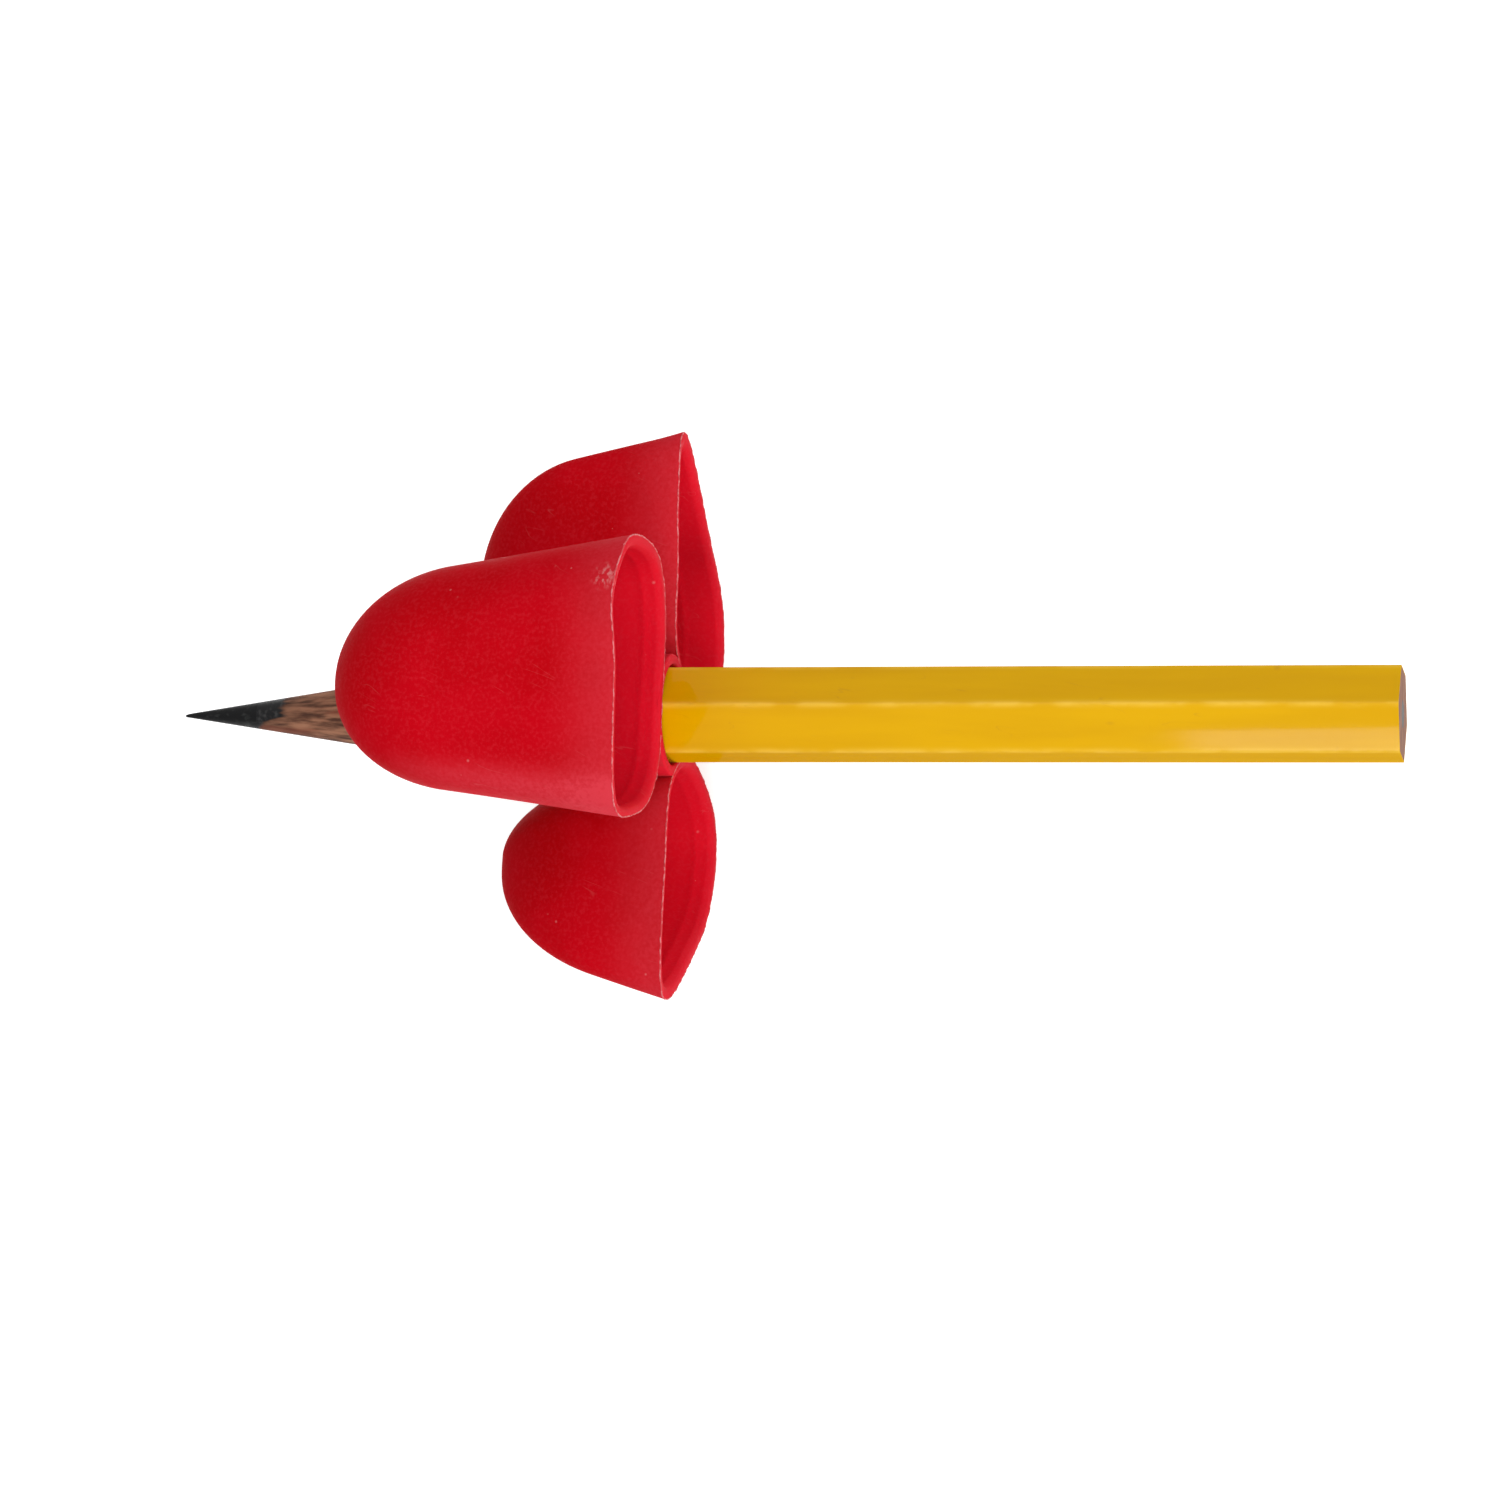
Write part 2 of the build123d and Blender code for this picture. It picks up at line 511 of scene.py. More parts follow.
@dataclass(frozen=True)
class WoodFinish(Finish):
    """Bare wood with streaks along the grain, rings at the sawn end and graphite over its front."""

    pale: Colour = (0.36, 0.165, 0.095)
    brown: Colour = (0.08, 0.032, 0.019)
    red: Colour = (0.18, 0.048, 0.026)
    ring_pale: Colour = (0.27, 0.118, 0.066)
    ring_dark: Colour = (0.17, 0.066, 0.036)
    smear: Colour = (0.006, 0.006, 0.0065)
    smear_grey: Colour = (0.040, 0.040, 0.040)
    stretch: Triple = (0.05, 1.0, 1.0)
    grain: Patches = Patches(2200.0, 4.0, 0.35, 0.66)
    streaks: Patches = Patches(900.0, 2.0, 0.52, 0.68, 0.0, 0.75)
    ring_stretch: Triple = (1.0, 0.14, 1.0)
    rings: Patches = Patches(2400.0, 3.0, 0.36, 0.64)
    sawn: Span = (-0.4, -0.1)
    smear_reach: float = 8.5
    smear_slant: float = 2.5
    smear_turn: float = -0.1
    smear_fade: Span = (-0.2, 0.6)
    slant_across: Span = (0.978, 0.208)
    ragged_scale: float = 2000.0
    ragged_detail: float = 5.0
    ragged: float = 2.4
    haze_reach: float = 4.0
    haze_cover: float = 0.25
    rubbed: Patches = Patches(2400.0, 4.0, 0.46, 0.74)
    relief: Relief = Relief(900.0, 2e-5, 4200.0, 1e-5)
    roughness: Span = (0.68, 0.42)
    specular: float = 0.15

    def past_smear(self, graph: Graph, axes: Outputs, along: Socket) -> Socket:
        """Measure how far the wood lies behind the ragged, slanting end of the smear.

        Args:
            graph: The material's graph.
            axes: The object coordinates, axis by axis.
            along: The coordinates stretched along the grain.

        Returns:
            The distance's socket, in metres.
        """
        across = graph.calc("MULTIPLY", axes[1], self.slant_across[0])
        across = graph.calc("MULTIPLY_ADD", axes[2], self.slant_across[1], across)
        below = graph.calc("MINIMUM", graph.calc("SUBTRACT", across, self.smear_turn * MM), 0.0)
        reach = (self.smear_reach - PENCIL_LENGTH) * MM
        edge = graph.calc("MULTIPLY_ADD", below, self.smear_slant, reach)
        noise = graph.noise(along, self.ragged_scale, self.ragged_detail)
        ragged = graph.calc("MULTIPLY_ADD", noise, self.ragged * MM, -self.ragged / 2 * MM)
        return graph.calc("SUBTRACT", axes[0], graph.calc("ADD", edge, ragged))

    def build(self) -> Material:
        """Build the wood.

        Returns:
            The material.
        """
        material, graph, shader, coords = self.start("casing_wood")
        axes = graph.add("ShaderNodeSeparateXYZ", {0: coords})
        along = graph.stretched(coords, self.stretch)
        colour = graph.mix(graph.patches(along, self.grain), self.brown, self.pale)
        colour = graph.mix(graph.patches(along, self.streaks), colour, self.red)
        rings = graph.patches(graph.stretched(coords, self.ring_stretch), self.rings)
        sawn = graph.fade(axes[0], self.sawn[0] * MM, self.sawn[1] * MM)
        colour = graph.mix(sawn, colour, graph.mix(rings, self.ring_dark, self.ring_pale))
        past = self.past_smear(graph, axes, along)
        haze = graph.fade(past, 0.0, self.haze_reach * MM, self.haze_cover, 0.0)
        colour = graph.mix(haze, colour, self.smear)
        smear = graph.fade(past, self.smear_fade[0] * MM, self.smear_fade[1] * MM, 1.0, 0.0)
        graphite = graph.mix(graph.patches(coords, self.rubbed), self.smear, self.smear_grey)
        surface = {
            "Base Color": graph.mix(smear, colour, graphite),
            "Normal": self.shared.use(graph, along, self.relief),
            "Roughness": graph.fade(smear, 0.0, 1.0, *self.roughness),
            "Specular IOR Level": self.specular,
        }
        graph.feed(shader, surface)
        return material


@dataclass(frozen=True)
class GraphiteFinish(Finish):
    """Sharpened graphite with grey marks."""

    black: Colour = (0.004, 0.004, 0.0045)
    grey: Colour = (0.034, 0.036, 0.035)
    stretch: Triple = (0.6, 1.0, 1.0)
    marks: Patches = Patches(2200.0, 4.0, 0.46, 0.8)
    specks: Specks = Specks(2600.0, 0.16, 0.5)
    relief: Relief = Relief(1500.0, 1.5e-5, 6000.0, 8e-6)
    roughness: float = 0.45
    specular: float = 0.12

    def build(self) -> Material:
        """Build the graphite.

        Returns:
            The material.
        """
        material, graph, shader, coords = self.start("graphite")
        along = graph.stretched(coords, self.stretch)
        colour = graph.mix(graph.patches(along, self.marks), self.black, self.grey)
        colour = graph.mix(self.shared.use(graph, coords, self.specks), colour, self.grey)
        surface = {
            "Base Color": colour,
            "Normal": self.shared.use(graph, along, self.relief),
            "Roughness": self.roughness,
            "Specular IOR Level": self.specular,
        }
        graph.feed(shader, surface)
        return material


def add_object(name: str, data: ID) -> Object:
    """Add an object to the scene.

    Args:
        name: The object's name.
        data: Its mesh, light or camera.

    Returns:
        The new object.
    """
    obj = bpy.data.objects.new(name, data)
    bpy.context.scene.collection.objects.link(obj)
    return obj


def smooth(mesh: Mesh, crease: float) -> None:
    """Shade a mesh smooth, with sharp edges from an angle up.

    Args:
        mesh: The mesh.
        crease: The angle in degrees.
    """
    mesh.polygons.foreach_set("use_smooth", [True] * len(mesh.polygons))
    mesh.set_sharp_from_angle(angle=math.radians(crease))


def new_object(name: str, verts: np.ndarray, faces: Faces, crease: float = 40.0) -> Object:
    """Make a closed mesh object with outward normals, smooth up to a crease angle.

    Args:
        name: The object's name.
        verts: Points in millimetres.
        faces: Point indices of each face.
        crease: Angle in degrees from which an edge stays sharp.

    Returns:
        The new object.
    """
    mesh = bpy.data.meshes.new(name)
    mesh.from_pydata((verts * MM).tolist(), [], faces)
    work = bmesh.new()
    work.from_mesh(mesh)
    bmesh.ops.recalc_face_normals(work, faces=work.faces)
    work.to_mesh(mesh)
    work.free()
    smooth(mesh, crease)
    return add_object(name, mesh)


def grid_faces(rows: int, columns: int, close_rows: bool, close_columns: bool) -> Faces:
    """List the quads of a grid of points.

    Args:
        rows: Number of rows.
        columns: Points a row.
        close_rows: Join the last row to the first.
        close_columns: Join the last column to the first.

    Returns:
        The quads.
    """
    faces = []
    for row in range(rows if close_rows else rows - 1):
        here, below = row * columns, (row + 1) % rows * columns
        for column in range(columns if close_columns else columns - 1):
            beside = (column + 1) % columns
            faces.append((here + column, here + beside, below + beside, below + column))
    return faces


def around_axis(x: Numbers, radius: Numbers, turns: np.ndarray) -> np.ndarray:
    """Give points round the pencil's axis.

    Args:
        x: Place along the axis, the same or one for each point.
        radius: Distance from the axis, the same or one for each point.
        turns: Angles from +Y towards +Z.

    Returns:
        The points.
    """
    return np.column_stack((x * np.ones_like(turns), radius * np.cos(turns), radius * np.sin(turns)))


def full_turn(count: int) -> np.ndarray:
    """Give even angles round a circle.

    Args:
        count: Number of angles.

    Returns:
        The angles in radians.
    """
    return np.linspace(0.0, 2 * math.pi, count, endpoint=False)


def bake(obj: Object) -> None:
    """Apply an object's modifiers and remove them.

    Args:
        obj: The object.
    """
    bpy.context.view_layer.update()
    result = bpy.data.meshes.new_from_object(obj.evaluated_get(bpy.context.evaluated_depsgraph_get()))
    obj.modifiers.clear()
    obj.data = result


def closed_spline(knots: np.ndarray, count: int) -> np.ndarray:
    """Sample a closed cubic spline through points.

    Args:
        knots: The points, in order round the loop.
        count: Number of samples.

    Returns:
        The samples.
    """
    size, rises = len(knots), np.roll(knots, -1, axis=0) - knots
    after = np.linalg.norm(rises, axis=1)
    before = np.roll(after, 1)
    here = np.arange(size)
    system = np.zeros((size, size))
    system[here, here - 1] = before
    system[here, here] = 2 * (before + after)
    system[here, (here + 1) % size] = after
    slopes = rises / after[:, None]
    bend = np.linalg.solve(system, 6 * (slopes - np.roll(slopes, 1, axis=0)))
    starts = np.concatenate(([0.0], np.cumsum(after)))
    places = np.linspace(0.0, starts[-1], count, endpoint=False)
    first = np.searchsorted(starts, places, side="right") - 1
    then, gap = (first + 1) % size, after[first][:, None]
    late = (places - starts[first])[:, None] / gap
    early = (starts[first + 1] - places)[:, None] / gap
    curve = (early**3 - early) * bend[first] + (late**3 - late) * bend[then]
    return early * knots[first] + late * knots[then] + curve * gap * gap / 6


@dataclass(frozen=True)
class Side:
    """One side of a cup's mouth: its half width, and knots as distance from the axis and offset across."""

    half_width: float
    knots: tuple[Span, ...]


@dataclass(frozen=True)
class Mouth:
    """Outline of a cup's mouth: its reach from the pencil's axis, and both sides."""

    inner: float
    outer: float
    plus: Side
    minus: Side
    soft_waves: int = 2
    finer: int = 8

    @cache
    def outline(self, count: int) -> np.ndarray:
        """Sample the closed smooth outline evenly.

        Args:
            count: Number of samples.

        Returns:
            Rows of distance from the axis and offset across the cup.
        """
        minus = [(away, -across) for away, across in reversed(self.minus.knots)]
        knots = np.array([(self.inner, 0.0), *self.plus.knots, (self.outer, 0.0), *minus])
        dense = closed_spline(knots, count * self.finer)
        steps = np.linalg.norm(np.roll(dense, -1, axis=0) - dense, axis=1)
        travelled = np.concatenate(([0.0], np.cumsum(steps)))
        looped = np.vstack((dense, dense[:1]))
        wanted = np.linspace(0.0, travelled[-1], count, endpoint=False)
        return np.column_stack([np.interp(wanted, travelled, looped[:, axis]) for axis in range(2)])

    @cache
    def softened(self, count: int) -> np.ndarray:
        """Give the outline with its corners rounded away, for the closed end.

        Args:
            count: Number of samples.

        Returns:
            Rows of distance from the axis and offset across the cup.
        """
        outline = self.outline(count)
        waves = np.fft.fft(outline[:, 0] + 1j * outline[:, 1])
        waves[self.soft_waves + 1 : count - self.soft_waves] = 0.0
        soft = np.fft.ifft(waves)
        return np.column_stack((soft.real, soft.imag))


@dataclass(frozen=True)
class Cup:
    """One fingertip cup as a closed shell."""

    name: str
    angle: float
    length: float
    draft_angle: float
    mouth: Mouth
    wall: float = 0.9
    end_wall: float = 1.3
    dome_depth: float = 9.0
    softness: float = 0.3
    outer_edge: float = 0.14
    outer_turns: tuple[float, ...] = (30.0, 60.0, 90.0)
    inner_edge: float = 0.5
    inner_turns: tuple[float, ...] = (90.0, 72.0, 54.0, 36.0, 18.0)
    ridges: tuple[float, ...] = (1.5,)
    ridge_height: float = 0.07
    ridge_width: float = 0.3
    ridge_zone: float = 5.4
    ridge_step: float = 0.14
    flare: float = 0.0
    flare_spread: float = 3.2
    trim: float = 0.0
    trim_place: Span = (20.2, -5.0)
    trim_spread: float = 3.6
    lip_reach: float = 3.0
    worn_reach: float = 6.0
    # Painted highlight: a pale band just inside the lip, its strength and reach.
    inner_lip_highlight: float = 0.4
    inner_lip_highlight_reach: float = 0.75
    # Painted sheen: a pale band along one flank, its strength, width and reach.
    flank_sheen: float = 0.0
    flank_sheen_width: float = 1.6
    flank_sheen_reach: float = 19.0
    around: int = 224
    dome_rows: int = 22
    wall_rows: int = 12

    @property
    def shoulder_x(self) -> float:
        """Give the place where the dome starts.

        Returns:
            The x of the shoulder.
        """
        return MOUTH_X - self.length + self.dome_depth

    def ring(self, x: float, amount: float, scale: float) -> np.ndarray:
        """Give one ring of the cup.

        Args:
            x: Place along the pencil.
            amount: How far the outline is drawn in on every side.
            scale: Scale about the cup's own axis.

        Returns:
            Points in space.
        """
        shape = self.mouth
        back = min((MOUTH_X - x) / self.length, 1.0)
        rounding = self.softness * back * back * (3 - 2 * back)
        outline = (1 - rounding) * shape.outline(self.around) + rounding * shape.softened(self.around)
        share = max(0.0, 1.0 - (MOUTH_X - x) / self.lip_reach) ** 2
        from_corner = np.linalg.norm(outline - shape.plus.knots[-1], axis=1)
        amount = amount - self.flare * share * np.exp(-((from_corner / self.flare_spread) ** 2))
        from_trim = np.linalg.norm(outline - self.trim_place, axis=1)
        along = x - self.trim * share * np.exp(-((from_trim / self.trim_spread) ** 2))
        half_depth = (shape.outer - shape.inner) / 2
        half_width = (shape.plus.half_width + shape.minus.half_width) / 2
        middle = (shape.outer + shape.inner) / 2
        away = middle + (outline[:, 0] - middle) * scale * (1 - amount / half_depth)
        across = outline[:, 1] * scale * (1 - amount / half_width)
        turn = math.radians(self.angle)
        y = away * math.sin(turn) - across * math.cos(turn)
        z = away * math.cos(turn) + across * math.sin(turn)
        return np.column_stack((along, y, z))

    def dome(self, wall: float, depth: float) -> list[Triple]:
        """List the rings of a dome that rounds on from the tapered wall.

        Args:
            wall: Wall that the dome lies inside of.
            depth: The dome's depth.

        Returns:
            Place, drawn-in amount and scale of each ring, from the shoulder on.
        """
        shape, draft = self.mouth, math.tan(math.radians(self.draft_angle))
        taper = wall + draft * (MOUTH_X - self.shoulder_x)
        half = (shape.outer - shape.inner + shape.plus.half_width + shape.minus.half_width) / 4
        start = math.asin(draft * depth / (half - taper - draft * depth))
        rows = []
        for step in range(1, self.dome_rows):
            turn = start + (math.pi / 2 - start) * step / self.dome_rows
            x = self.shoulder_x - depth * (math.sin(turn) - math.sin(start)) / (1 - math.sin(start))
            rows.append((x, taper, math.cos(turn) / math.cos(start)))
        return rows

    def rows(self) -> list[Triple]:
        """List the shell's rings from the outer tip over the lip to the inner tip.

        Returns:
            Place, drawn-in amount and scale of each ring.
        """
        draft = math.tan(math.radians(self.draft_angle))
        rows = list(reversed(self.dome(0.0, self.dome_depth)))
        straight_end = MOUTH_X - self.outer_edge
        for x in np.linspace(self.shoulder_x, straight_end, self.wall_rows):
            rows.append((float(x), draft * (MOUTH_X - float(x)), 1.0))
        for turn in np.radians(self.outer_turns):
            x = straight_end + self.outer_edge * math.sin(turn)
            rows.append((x, self.outer_edge * (1 - math.cos(turn)), 1.0))
        for turn in np.radians(self.inner_turns):
            x = MOUTH_X - self.inner_edge * (1 - math.sin(turn))
            rows.append((x, self.wall - self.inner_edge * (1 - math.cos(turn)), 1.0))
        near_lip = np.arange(self.inner_edge, self.ridge_zone, self.ridge_step)
        deeper = np.linspace(self.ridge_zone, MOUTH_X - self.shoulder_x, self.wall_rows // 2)
        for depth in np.concatenate((near_lip, deeper)):
            ridge = sum(math.exp(-(((depth - place) / self.ridge_width) ** 2)) for place in self.ridges)
            rows.append((MOUTH_X - depth, self.wall + draft * depth + self.ridge_height * ridge, 1.0))
        return rows + self.dome(self.wall, self.dome_depth - self.end_wall)

    def is_inside(self, row: int) -> bool:
        """Tell whether a ring lies on the lip or inside the cup.

        Args:
            row: The ring's number.

        Returns:
            True from the lip on.
        """
        return row >= self.dome_rows - 1 + self.wall_rows

    def wear_and_painted_light(self, row: int, x: float) -> np.ndarray:
        """Give how pale a ring is made: by wearing towards the lip and a painted sheen along one flank
        outside, and by a painted highlight at the lip inside.

        Args:
            row: The ring's number.
            x: The ring's place.

        Returns:
            The paleness of each point of the ring.
        """
        inside = self.is_inside(row)
        share = max(0.0, 1.0 - (MOUTH_X - x) / (self.inner_lip_highlight_reach if inside else self.worn_reach))
        lip = np.full(self.around, share * share * (3 - 2 * share))
        # Inside, only a painted highlight band at the lip.
        if inside:
            return self.inner_lip_highlight * lip
        # Outside, wearing towards the lip plus a painted sheen along one flank.
        from_flank = self.mouth.plus.half_width - self.mouth.outline(self.around)[:, 1]
        along = max(0.0, 1.0 - (MOUTH_X - x) / self.flank_sheen_reach)
        return lip + self.flank_sheen * along**0.5 * np.exp(-((from_flank / self.flank_sheen_width) ** 2))

    def build(self) -> Object:
        """Build the shell.

        Returns:
            The shell as an object.
        """
        rings = [self.ring(*row) for row in self.rows()]
        tips = [rings[0].mean(axis=0), rings[-1].mean(axis=0)]
        tips[0][0] = MOUTH_X - self.length
        tips[1][0] = MOUTH_X - self.length + self.end_wall
        faces = grid_faces(len(rings), self.around, False, True)
        first, last = len(rings) * self.around, (len(rings) - 1) * self.around
        for column in range(self.around):
            beside = (column + 1) % self.around
            faces.append((first, beside, column))
            faces.append((first + 1, last + column, last + beside))
        return new_object(self.name, np.vstack((*rings, tips)), faces)


LONG_LOWER = Side(10.6, ((4.3, 5.2), (6.6, 8.2), (12.0, 10.6), (17.7, 10.8), (19.0, 7.6)))
LONG_UPPER = Side(11.5, ((4.3, 7.2), (6.6, 10.7), (12.0, 11.5), (18.5, 9.2), (20.0, 5.4)))
UPPER_FACING = Side(10.1, ((5.0, 3.4), (8.5, 6.1), (13.5, 10.1), (18.6, 12.8)))
UPPER_AWAY = Side(10.9, ((5.0, 5.0), (8.5, 8.9), (13.5, 10.9), (17.8, 8.4)))
LOWER_FACING = Side(8.8, ((5.2, 3.2), (8.6, 5.6), (14.0, 8.8), (19.4, 10.8)))
LOWER_AWAY = Side(11.5, ((5.2, 4.8), (8.6, 8.8), (14.0, 11.5), (18.6, 8.2)))
LONG_MOUTH = Mouth(inner=4.1, outer=19.8, plus=LONG_LOWER, minus=LONG_UPPER)
UPPER_MOUTH = Mouth(inner=4.2, outer=19.6, plus=UPPER_FACING, minus=UPPER_AWAY)
LOWER_MOUTH = Mouth(inner=4.2, outer=20.8, plus=LOWER_AWAY, minus=LOWER_FACING)
LONG_CUP = Cup(
    "long_cup",
    angle=0.0,
    length=24.5,
    draft_angle=8.5,
    mouth=LONG_MOUTH,
    softness=1.0,
    trim=0.45,
    # Painted sheen along one flank of this cup.
    flank_sheen=2.0,
)
UPPER_CUP = Cup(
    "upper_cup",
    angle=120.0,
    length=18.2,
    draft_angle=7.0,
    mouth=UPPER_MOUTH,
    ridges=(3.1, 4.4),
    flare=0.1,
)
LOWER_CUP = Cup("lower_cup", angle=-120.0, length=15.2, draft_angle=13.0, mouth=LOWER_MOUTH)
CUPS = (LONG_CUP, UPPER_CUP, LOWER_CUP)


@dataclass(frozen=True)
class GripMoulding:
    """The rubber grip: a sleeve and three cups joined into one moulding."""

    finish: RubberFinish
    cups: tuple[Cup, ...] = CUPS
    sleeve_length: float = 10.0
    sleeve_radius: float = 4.914
    bore_radius: float = 4.014
    sleeve_edge: float = 0.2
    edge_points: int = 6
    around: int = 160
    crease: float = 38.0

    def sleeve(self) -> Object:
        """Build the sleeve as a tube with softened ends.

        Returns:
            The tube.
        """
        soft, front = self.sleeve_edge, MOUTH_X - self.sleeve_length
        corners = (
            (MOUTH_X - soft, self.sleeve_radius - soft, 0.0),
            (front + soft, self.sleeve_radius - soft, 90.0),
            (front + soft, self.bore_radius + soft, 180.0),
            (MOUTH_X - soft, self.bore_radius + soft, 270.0),
        )
        rings, turns = [], full_turn(self.around)
        for x, radius, first in corners:
            for turn in np.radians(np.linspace(first, first + 90.0, self.edge_points)):
                rings.append(around_axis(x + soft * math.cos(turn), radius + soft * math.sin(turn), turns))
        return new_object("sleeve", np.vstack(rings), grid_faces(len(rings), self.around, True, True))

    def lay_wear_and_painted_light(self, mesh: Mesh) -> None:
        """Give every point of the moulding the paleness, from wearing and painted light, and the side of
        the nearest cup ring.

        Args:
            mesh: The joined moulding.
        """
        rings = [(cup, number, row) for cup in self.cups for number, row in enumerate(cup.rows())]
        tree = KDTree(sum(cup.around for cup, _, _ in rings))
        worn_and_lit, inner = [], []
        for cup, number, row in rings:
            for point in cup.ring(*row) * MM:
                tree.insert(point, len(inner))
                inner.append(float(cup.is_inside(number)))
            worn_and_lit.extend(cup.wear_and_painted_light(number, row[0]))
        tree.balance()
        nearest = [tree.find(vertex.co)[1] for vertex in mesh.vertices]
        for name, values in (("wear_and_painted_light", worn_and_lit), ("inside", inner)):
            layer = mesh.attributes.new(name, "FLOAT", "POINT")
            layer.data.foreach_set("value", [values[index] for index in nearest])

    def build(self) -> Object:
        """Join the sleeve and the cups, and finish the moulding.

        Returns:
            The moulding.
        """
        body = self.sleeve()
        for cup in self.cups:
            shell = cup.build()
            union = body.modifiers.new("join", "BOOLEAN")
            union.operation = "UNION"
            union.solver = "EXACT"
            union.object = shell
            bake(body)
            bpy.data.objects.remove(shell)
        body.name = "grip_body"
        smooth(body.data, self.crease)
        self.lay_wear_and_painted_light(body.data)
        body.data.materials.clear()
        body.data.materials.append(self.finish.build())
        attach(body, Body.GRIP.value)
        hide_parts("grip_moulding")
        return body


@dataclass(frozen=True)
class RimFlash:
    """Rough thread of rubber left on the edge of every mouth, laid by Geometry Nodes."""

    finish: FlashFinish
    cups: tuple[Cup, ...] = CUPS
    edge_share: float = 0.3
    spacing: float = 0.11
    thickness: float = 0.12
    thread_sides: int = 6
    wander: float = 0.2
    wander_scale: float = 1400.0
    wander_detail: float = 3.0
    noise_middle: Triple = (0.5, 0.5, 0.5)
    swell: Patches = Patches(2000.0, 2.0, 0.38, 0.64, 0.1, 1.4)
    flake_share: float = 0.015
    flake_size: float = 0.2
    flake_least: Triple = (0.25, 0.15, 0.1)
    flake_most: Triple = (1.0, 0.6, 0.3)
    flake_turn: Triple = (6.28, 6.28, 6.28)
    flake_rounds: int = 2
    crease: float = 60.0
    seed: int = 7

    def rims(self) -> Object:
        """Draw the edges of the mouths.

        Returns:
            An object of closed loops of edges, one for each cup.
        """
        points, edges = [], []
        for cup in self.cups:
            inset = cup.outer_edge * self.edge_share
            start = len(points)
            points.extend(cup.ring(MOUTH_X - inset, inset, 1.0) * MM)
            edges += [(start + step, start + (step + 1) % cup.around) for step in range(cup.around)]
        mesh = bpy.data.meshes.new("mouth_edges")
        mesh.from_pydata(points, edges, [])
        return add_object("rim_flash", mesh)

    def nodes(self) -> NodeTree:
        """Build the group that lays the thread and its torn flakes.

        Returns:
            The geometry tree.
        """
        tree = bpy.data.node_groups.new("Moulding Flash", "GeometryNodeTree")
        numbers = ("Spacing", "Thickness", "Wander", "Flake Share", "Flake Size")
        kinds = {"Geometry": "Geometry", **dict.fromkeys(numbers, "Float"), "Seed": "Int"}
        kinds["Material"] = "Material"
        for label, kind in kinds.items():
            tree.interface.new_socket(label, in_out="INPUT", socket_type=f"NodeSocket{kind}")
        tree.interface.new_socket("Geometry", in_out="OUTPUT", socket_type="NodeSocketGeometry")
        graph = Graph(tree)
        given = graph.add("NodeGroupInput")
        curve = graph.add("GeometryNodeMeshToCurve", {0: given["Geometry"]})[0]
        even = {"Curve": curve, "Length": given["Spacing"]}
        path = graph.add("GeometryNodeResampleCurve", even, mode="LENGTH")[0]
        place = graph.add("GeometryNodeInputPosition")[0]
        noise = {"Vector": place, "Scale": self.wander_scale, "Detail": self.wander_detail}
        apart = {0: graph.add("ShaderNodeTexNoise", noise)[1], 1: self.noise_middle}
        centred = graph.add("ShaderNodeVectorMath", apart, operation="SUBTRACT")[0]
        sway = {0: centred, "Scale": given["Wander"]}
        offset = graph.add("ShaderNodeVectorMath", sway, operation="SCALE")[0]
        rough = graph.add("GeometryNodeSetPosition", {"Geometry": path, "Offset": offset})[0]
        uneven = {"Curve": rough, "Radius": graph.patches(place, self.swell)}
        core = graph.add("GeometryNodeSetCurveRadius", uneven)[0]
        half = graph.calc("MULTIPLY", given["Thickness"], 0.5)
        circle = {"Resolution": self.thread_sides, "Radius": half}
        section = graph.add("GeometryNodeCurvePrimitiveCircle", circle)[0]
        thread = graph.add("GeometryNodeCurveToMesh", {"Curve": core, "Profile Curve": section})[0]
        chance = {"Probability": given["Flake Share"], "Seed": given["Seed"]}
        turns = {0: (0.0, 0.0, 0.0), 1: self.flake_turn, "Seed": given["Seed"]}
        sizes = {0: self.flake_least, 1: self.flake_most, "Seed": given["Seed"]}
        ball = {"Radius": given["Flake Size"], "Subdivisions": self.flake_rounds}
        scatter = {
            "Points": rough,
            "Selection": graph.add("FunctionNodeRandomValue", chance, data_type="BOOLEAN")[3],
            "Instance": graph.add("GeometryNodeMeshIcoSphere", ball)[0],
            "Rotation": graph.add("FunctionNodeRandomValue", turns, data_type="FLOAT_VECTOR")[0],
            "Scale": graph.add("FunctionNodeRandomValue", sizes, data_type="FLOAT_VECTOR")[0],
        }
        flakes = graph.add("GeometryNodeInstanceOnPoints", scatter)[0]
        joined = graph.add("GeometryNodeJoinGeometry", {0: flakes})[0]
        graph.feed(joined.node, {0: thread})
        real = graph.add("GeometryNodeRealizeInstances", {0: joined})[0]
        coated = {"Geometry": real, "Material": given["Material"]}
        graph.add("NodeGroupOutput", {0: graph.add("GeometryNodeSetMaterial", coated)[0]})
        return tree

    def build(self) -> Object:
        """Lay the flash and bake it.

        Returns:
            The flash.
        """
        obj, tree = self.rims(), self.nodes()
        values = {
            "Spacing": self.spacing * MM,
            "Thickness": self.thickness * MM,
            "Wander": self.wander * MM,
            "Flake Share": self.flake_share,
            "Flake Size": self.flake_size * MM,
            "Seed": self.seed,
            "Material": self.finish.build(),
        }
        modifier = obj.modifiers.new("flash", "NODES")
        modifier.node_group = tree
        for item in tree.interface.items_tree:
            if item.in_out == "INPUT" and item.name in values:
                modifier[item.identifier] = values[item.name]
        bake(obj)
        smooth(obj.data, self.crease)
        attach(obj, Body.GRIP.value)
        return obj


